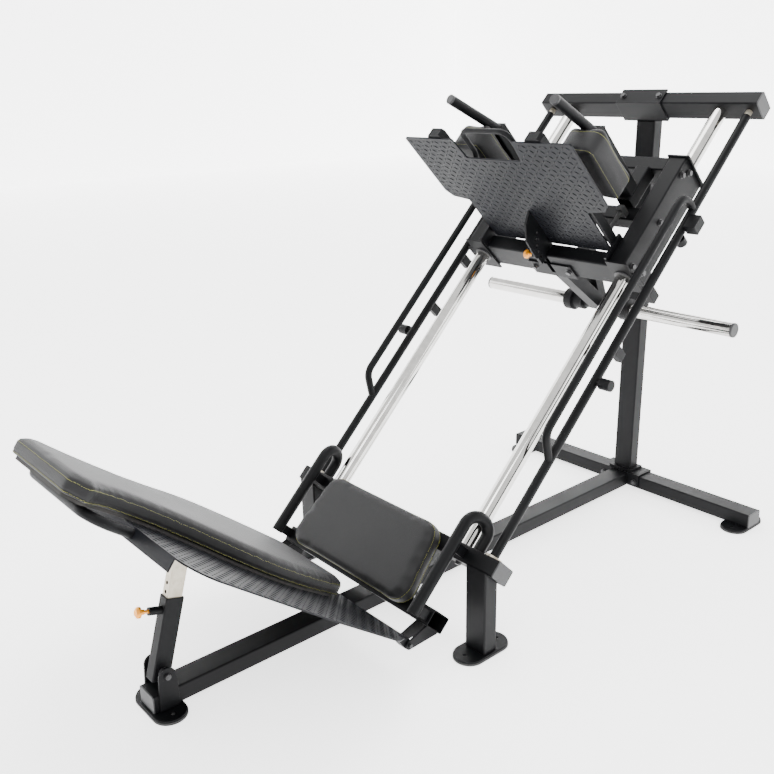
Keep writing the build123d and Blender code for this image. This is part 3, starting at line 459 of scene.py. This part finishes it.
def loft_rings(rings: Sequence[Sequence[Vector]]) -> bpy.types.Mesh:
    """Closed mesh through rings of equal count, capped at both ends."""
    shape = bmesh.new()
    made = [[shape.verts.new(p) for p in ring] for ring in rings]
    count = len(rings[0])
    for low, high in zip(made, made[1:]):
        for i in range(count):
            j = (i + 1) % count
            shape.faces.new((low[i], low[j], high[j], high[i]))
    shape.faces.new(list(reversed(made[0])))
    shape.faces.new(made[-1])
    bmesh.ops.recalc_face_normals(shape, faces=shape.faces)
    mesh = bpy.data.meshes.new("loft")
    shape.to_mesh(mesh)
    shape.free()
    return mesh


# ------------------------------------------------------------------ repeated details
class Scatter:
    """Geometry Nodes tree that puts one small shape on every point of a mesh."""

    def __init__(self, name: str, material: bpy.types.Material) -> None:
        """Start the tree with its named inputs."""
        self.tree = bpy.data.node_groups.new(name, "GeometryNodeTree")
        self.material = material
        self.sizes: dict[str, str] = {}
        face = self.tree.interface
        face.new_socket("Geometry", in_out="INPUT", socket_type="NodeSocketGeometry")
        face.new_socket("Geometry", in_out="OUTPUT", socket_type="NodeSocketGeometry")
        for label in ("Length", "Width", "Height"):
            socket = face.new_socket(label, in_out="INPUT", socket_type="NodeSocketFloat")
            self.sizes[label] = socket.identifier

    def _node(self, kind: str, **settings: object) -> bpy.types.Node:
        """Add a node with its settings."""
        node = self.tree.nodes.new(kind)
        for key, value in settings.items():
            setattr(node, key, value)
        return node

    def grow(self, sides: int, taper: float) -> "Scatter":
        """Build the nodes: a tapered lozenge turned by the point's own rotation.

        Args:
            sides: number of sides of the lozenge.
            taper: width of its top over the width of its foot.

        Returns:
            This tree.
        """
        link = self.tree.links.new
        source = self._node("NodeGroupInput")
        target = self._node("NodeGroupOutput")
        cone = self._node("GeometryNodeMeshCone", fill_type="NGON")
        cone.inputs["Vertices"].default_value = sides
        cone.inputs["Radius Top"].default_value = 0.5 * taper
        cone.inputs["Radius Bottom"].default_value = 0.5
        cone.inputs["Depth"].default_value = 1.0
        scale = self._node("ShaderNodeCombineXYZ")
        for place, label in enumerate(self.sizes):
            link(source.outputs[label], scale.inputs[place])
        sized = self._node("GeometryNodeTransform")
        link(cone.outputs["Mesh"], sized.inputs["Geometry"])
        link(scale.outputs["Vector"], sized.inputs["Scale"])
        turn = self._node("GeometryNodeInputNamedAttribute", data_type="FLOAT_VECTOR")
        turn.inputs["Name"].default_value = "turn"
        spread = self._node("GeometryNodeInstanceOnPoints")
        link(source.outputs["Geometry"], spread.inputs["Points"])
        link(sized.outputs["Geometry"], spread.inputs["Instance"])
        link(turn.outputs["Attribute"], spread.inputs["Rotation"])
        real = self._node("GeometryNodeRealizeInstances")
        link(spread.outputs["Instances"], real.inputs["Geometry"])
        dress = self._node("GeometryNodeSetMaterial")
        dress.inputs["Material"].default_value = self.material
        link(real.outputs["Geometry"], dress.inputs["Geometry"])
        link(dress.outputs["Geometry"], target.inputs["Geometry"])
        return self

    def spread(
        self,
        name: str,
        places: Sequence[tuple[Vector, Matrix]],
        size: tuple[float, float, float],
    ) -> bpy.types.Object:
        """Bake the shape at every place into one plain piece.

        Args:
            name: name of the piece.
            places: points with the rotation of the shape at each.
            size: length, width and height of one shape.

        Returns:
            The piece.
        """
        points = bpy.data.meshes.new(name + "_points")
        points.from_pydata([tuple(p) for p, _ in places], [], [])
        turns = points.attributes.new("turn", "FLOAT_VECTOR", "POINT")
        for index, (_, rotation) in enumerate(places):
            turns.data[index].vector = rotation.to_euler()
        carrier = bpy.data.objects.new(name + "_carrier", points)
        bpy.context.scene.collection.objects.link(carrier)
        modifier = carrier.modifiers.new("scatter", "NODES")
        modifier.node_group = self.tree
        for identifier, value in zip(self.sizes.values(), size):
            modifier[identifier] = value
        mesh = baked(carrier)
        bpy.data.objects.remove(carrier)
        return new_piece(name, mesh, self.material)


def facing(tangent: Vector, normal: Vector) -> Matrix:
    """Rotation whose x axis follows a tangent and z axis a normal."""
    x = tangent.normalized()
    z = (normal - x * normal.dot(x)).normalized()
    y = z.cross(x)
    return Matrix((x, y, z)).transposed()


@dataclass
class Stitching:
    """Rows of stitches that follow a seam on a cushion."""

    pitch: float = 5.0 * MM
    length: float = 3.8 * MM
    width: float = 0.9 * MM
    height: float = 0.9 * MM
    lift: float = 0.1 * MM

    def rows(
        self, loops: Iterable[Sequence[Vector]], surface: BVHTree
    ) -> list[tuple[Vector, Matrix]]:
        """Places of the stitches of several closed rows laid on a surface."""
        places = []
        for loop in loops:
            laid = resample(loop, self.pitch)
            count = len(laid)
            for i in range(count):
                point, normal, _, _ = surface.find_nearest(laid[i])
                if point is None:
                    continue
                tangent = laid[(i + 1) % count] - laid[i - 1]
                places.append((point + normal * self.lift, facing(tangent, normal)))
        return places


# ------------------------------------------------------------------ cushions
@dataclass
class Cushion:
    """A foam cushion in stitched vinyl over one CAD pad."""

    node: str
    body: str
    crown: float
    fill: float = 0.85
    voxel: float = 6.0 * MM
    swell: float = 2.0 * MM
    edge: float = 10.0 * MM
    seam_depth: float = 1.6 * MM
    seam_width: float = 2.6 * MM
    seam_low: float = 6.0 * MM
    row_gap: float = 2.6 * MM
    pressure: float = 4.0
    calming: int = 10
    frames: int = 20
    edge_steps: int = 5
    foot_inset: float = 4.0 * MM
    foot_rise: float = 3.0 * MM
    outline_step: float = 9.0 * MM
    groove_step: float = 2.0 * MM
    stitching: Stitching = field(default_factory=Stitching)

    def build(self, finishes: dict[Finish, bpy.types.Material]) -> list[bpy.types.Object]:
        """Make the cushion and its stitches.

        Args:
            finishes: materials by finish.

        Returns:
            The pieces made.
        """
        flat = FlatSide.of(self.node)
        outline = resample(flat.outline, self.outline_step)
        body = new_piece(self.node + "_cushion", self._block(flat, outline), finishes[Finish.VINYL])
        self._puff(body, flat)
        seams = self._seams(flat, outline)
        self._press_seams(body, seams)
        surface = BVHTree.FromObject(body, bpy.context.evaluated_depsgraph_get())
        rows = [row for seam in seams for row in seam[1:]]
        places = self.stitching.rows(rows, surface)
        thread = Scatter(self.node + "_thread", finishes[Finish.THREAD]).grow(6, 0.55)
        size = (self.stitching.length, self.stitching.width, self.stitching.height)
        stitches = thread.spread(self.node + "_stitches", places, size)
        for piece in (body, stitches):
            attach(piece, self.body)
            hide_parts(self.node)
        return [body, stitches]

    def _block(self, flat: FlatSide, outline: Sequence[Vector]) -> bpy.types.Mesh:
        """Closed starting shape, a little smaller than the CAD pad."""
        levels = [(0.0, self.foot_inset), (self.foot_rise, 0.0)]
        levels.append((flat.depth - self.edge, 0.0))
        for k in range(1, self.edge_steps + 1):
            angle = math.pi / 2 * k / self.edge_steps
            rise = self.edge * math.sin(angle)
            levels.append((flat.depth - self.edge + rise, self.edge * (1 - math.cos(angle))))
        rings = []
        for out, inward in levels:
            loop = inset_loop(outline, self.swell + inward)
            height = -min(out, flat.depth - self.crown)
            rings.append([flat.place(p.x, p.y, height) for p in loop])
        return loft_rings(rings)

    def _puff(self, body: bpy.types.Object, flat: FlatSide) -> None:
        """Remesh the block and let cloth pressure crown it, within a cap."""
        only(body)
        remesh = body.modifiers.new("remesh", "REMESH")
        remesh.mode = "VOXEL"
        remesh.voxel_size = self.voxel
        bpy.ops.object.modifier_apply(modifier=remesh.name)
        start = [v.co.copy() for v in body.data.vertices]
        self._simulate(body)
        for vertex, before in zip(body.data.vertices, start):
            moved = vertex.co - before
            if moved.length > self.crown:
                moved = moved.normalized() * self.crown
            place = before + moved
            behind = (place - flat.origin).dot(flat.normal)
            vertex.co = place - flat.normal * max(behind, 0.0)
        calm = body.modifiers.new("calm", "SMOOTH")
        calm.factor = 0.5
        calm.iterations = self.calming
        bpy.ops.object.modifier_apply(modifier=calm.name)
        smooth = body.modifiers.new("smooth", "SUBSURF")
        smooth.levels = 1
        smooth.render_levels = 1
        bpy.ops.object.modifier_apply(modifier=smooth.name)
        shade_smooth(body.data)

    def _simulate(self, body: bpy.types.Object) -> None:
        """Inflate with cloth for a few frames."""
        scene = bpy.context.scene
        cloth = body.modifiers.new("cloth", "CLOTH")
        cloth.settings.use_pressure = True
        cloth.settings.uniform_pressure_force = self.pressure
        cloth.settings.effector_weights.gravity = 0.0
        cloth.settings.quality = 4
        cloth.collision_settings.use_collision = False
        cloth.point_cache.frame_start = 1
        cloth.point_cache.frame_end = self.frames
        for number in range(1, self.frames + 1):
            scene.frame_set(number)
        only(body)
        bpy.ops.object.modifier_apply(modifier=cloth.name)
        scene.frame_set(1)

    def _seams(self, flat: FlatSide, outline: Sequence[Vector]) -> list[list[list[Vector]]]:
        """Each seam as its groove line followed by its stitched rows."""
        seams = []
        high = flat.depth - self.edge
        for level in (high, self.seam_low):
            lines = []
            for shift in (0.0, -self.row_gap):
                out = -(level + shift)
                lines.append([flat.place(p.x, p.y, out) for p in outline])
            seams.append(lines)
        return seams

    def _press_seams(
        self, body: bpy.types.Object, seams: Sequence[Sequence[Sequence[Vector]]]
    ) -> None:
        """Draw the vinyl in along each groove line."""
        points = [p for seam in seams for p in resample(seam[0], self.groove_step)]
        surface = BVHTree.FromObject(body, bpy.context.evaluated_depsgraph_get())
        laid = [surface.find_nearest(p)[0] for p in points]
        tree = KDTree(len(laid))
        for index, point in enumerate(laid):
            tree.insert(point, index)
        tree.balance()
        reach = 3 * self.seam_width
        normals = [v.normal.copy() for v in body.data.vertices]
        for vertex, normal in zip(body.data.vertices, normals):
            _, _, distance = tree.find(vertex.co)
            if distance < reach:
                pull = math.exp(-((distance / self.seam_width) ** 2))
                vertex.co -= normal * self.seam_depth * pull
        body.data.update()


@dataclass
class TreadPlate:
    """Raised lozenges on the standing face of a plate."""

    node: str
    body: str
    facing_up: bool
    pitch: float = 20.0 * MM
    length: float = 17.0 * MM
    width: float = 4.0 * MM
    height: float = 1.3 * MM
    margin: float = 7.0 * MM

    def build(self, finishes: dict[Finish, bpy.types.Material]) -> bpy.types.Object:
        """Make the pattern on the face that is stood on."""
        flat = FlatSide.of(self.node)
        if (flat.normal.z > 0) != self.facing_up:
            flat.origin = flat.origin - flat.normal * flat.depth
            flat.normal = -flat.normal
        places = []
        reach = max(p.length for p in flat.outline)
        count = int(reach / self.pitch) + 1
        for i in range(-count, count + 1):
            for j in range(-count, count + 1):
                x, y = i * self.pitch, j * self.pitch
                if not self._inside(Vector((x, y)), flat.outline):
                    continue
                turn = math.pi / 4 if (i + j) % 2 else -math.pi / 4
                line = flat.across * math.cos(turn) + flat.along * math.sin(turn)
                point = flat.place(x, y, self.height * 0.1)
                places.append((point, facing(line, flat.normal)))
        lozenge = Scatter(self.node + "_tread", finishes[Finish.TREAD_STEEL]).grow(8, 0.45)
        piece = lozenge.spread(self.node + "_lozenges", places, (self.length, self.width, self.height))
        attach(piece, self.body)
        return piece

    def _inside(self, point: Vector, outline: Sequence[Vector]) -> bool:
        """Whether a point is inside an outline with a margin."""
        inside = False
        for i in range(len(outline)):
            a, b = outline[i - 1], outline[i]
            if (a.y > point.y) != (b.y > point.y):
                if point.x < a.x + (b.x - a.x) * (point.y - a.y) / (b.y - a.y):
                    inside = not inside
            edge = b - a
            share = max(0.0, min(1.0, (point - a).dot(edge) / max(edge.length_squared, 1e-12)))
            if (point - (a + edge * share)).length < self.margin:
                return False
        return inside


# ------------------------------------------------------------------ CAD nodes
class Dressing:
    """Gives every CAD node the finish of its slot."""

    def __init__(self, finishes: dict[Finish, bpy.types.Material]) -> None:
        """Keep the finishes."""
        self.finishes = finishes

    def build(self) -> int:
        """Dress the nodes and return how many there were."""
        for part in frame["record"]["subparts"]:
            mesh = frame["nodes"][part["node"]].data
            mesh.materials.clear()
            mesh.materials.append(self.finishes[Finish(part["material_slot"])])
        return len(frame["record"]["subparts"])


# ------------------------------------------------------------------ studio
@dataclass
class Studio:
    """Pale floor, soft lights and the camera."""

    eye: tuple[float, float, float] = (1.9316, -1.7853, 1.5608)
    azimuth: float = 49.75
    elevation: float = 18.69
    roll: float = -1.26
    lens: float = 41.85
    sensor: float = 36.0
    floor_half: float = 14.0
    wall_high: float = 12.0
    floor_grey: float = 0.98
    floor_glow: float = 2.2

    def build(self) -> None:
        """Make the whole studio."""
        self._floor()
        self._lights()
        self._camera()

    def _floor(self) -> None:
        """Pale plain floor under the feet, with a wall on its two far sides."""
        half = self.floor_half
        high = self.wall_high
        mesh = bpy.data.meshes.new("floor")
        corners = [(-half, -half, 0), (half, -half, 0), (half, half, 0), (-half, half, 0)]
        corners += [(-half, -half, high), (-half, half, high), (half, half, high)]
        mesh.from_pydata(corners, [], [(0, 1, 2, 3), (0, 3, 5, 4), (3, 2, 6, 5)])
        grey = (self.floor_grey,) * 3
        nodes = Nodes("floor")
        colour = nodes.mix(nodes.noise(0.6), grey, tuple(0.985 * g for g in grey))
        material = nodes.finish(
            Base_Color=colour,
            Roughness=0.9,
            Emission_Color=colour,
            Emission_Strength=self.floor_glow,
        )
        floor = new_piece("studio_floor", mesh, material)

    def _area(
        self, name: str, place: Sequence[float], aim: Sequence[float], size: float, power: float
    ) -> None:
        """Add one square soft light."""
        light = bpy.data.lights.new(name, "AREA")
        light.size = size
        light.energy = power
        lamp = bpy.data.objects.new(name, light)
        lamp.location = place
        lamp.rotation_euler = (Vector(aim) - Vector(place)).to_track_quat("-Z", "Y").to_euler()
        bpy.context.scene.collection.objects.link(lamp)

    def _lights(self) -> None:
        """Bright surround with three soft boxes."""
        world = bpy.data.worlds.new("studio")
        world.use_nodes = True
        world.node_tree.nodes["Background"].inputs["Color"].default_value = (1, 1, 1, 1)
        world.node_tree.nodes["Background"].inputs["Strength"].default_value = 1.6
        bpy.context.scene.world = world
        middle = (0.0, 0.0, 0.6)
        self._area("key", (1.5, -3.2, 4.2), middle, 1.6, 60.0)
        self._area("top", (-0.8, 0.6, 4.6), middle, 2.4, 110.0)
        self._area("side", (4.2, 1.2, 2.2), middle, 1.6, 30.0)

    def _camera(self) -> None:
        """Camera at the view of the reference."""
        a, e, r = (math.radians(v) for v in (self.azimuth, self.elevation, self.roll))
        back = Vector((math.sin(a) * math.cos(e), -math.cos(a) * math.cos(e), math.sin(e)))
        ahead = -back
        right = ahead.cross(Vector((0, 0, 1))).normalized()
        up = right.cross(ahead)
        right, up = (
            right * math.cos(r) + up * math.sin(r),
            up * math.cos(r) - right * math.sin(r),
        )
        data = bpy.data.cameras.new("camera")
        data.lens = self.lens
        data.sensor_width = self.sensor
        data.clip_end = 60.0
        camera = bpy.data.objects.new("camera", data)
        turn = Matrix((right, up, back)).transposed().to_4x4()
        camera.matrix_world = Matrix.Translation(self.eye) @ turn
        bpy.context.scene.collection.objects.link(camera)
        bpy.context.scene.camera = camera


def main() -> None:
    """Build the machine's looks in order."""
    logging.basicConfig(level=logging.INFO, format="%(name)s: %(message)s")
    finishes = make_finishes()
    LOG.info("dressed %d nodes", Dressing(finishes).build())
    cushions = [
        Cushion("back_pad", "back_rest", crown=9.0 * MM),
        Cushion("seat_pad", "frame", crown=8.0 * MM),
        Cushion("shoulder_pad_left", "sled", crown=7.0 * MM, edge=26.0 * MM),
        Cushion("shoulder_pad_right", "sled", crown=7.0 * MM, edge=26.0 * MM),
    ]
    for cushion in cushions:
        for piece in cushion.build(finishes):
            LOG.info("%s: %d faces", piece.name, len(piece.data.polygons))
    for plate in (
        TreadPlate("press_plate", "foot_plate", facing_up=False),
        TreadPlate("rest_plate", "back_rest", facing_up=True),
    ):
        piece = plate.build(finishes)
        LOG.info("%s: %d faces", piece.name, len(piece.data.polygons))
    Studio().build()


if __name__ == "__main__":
    main()
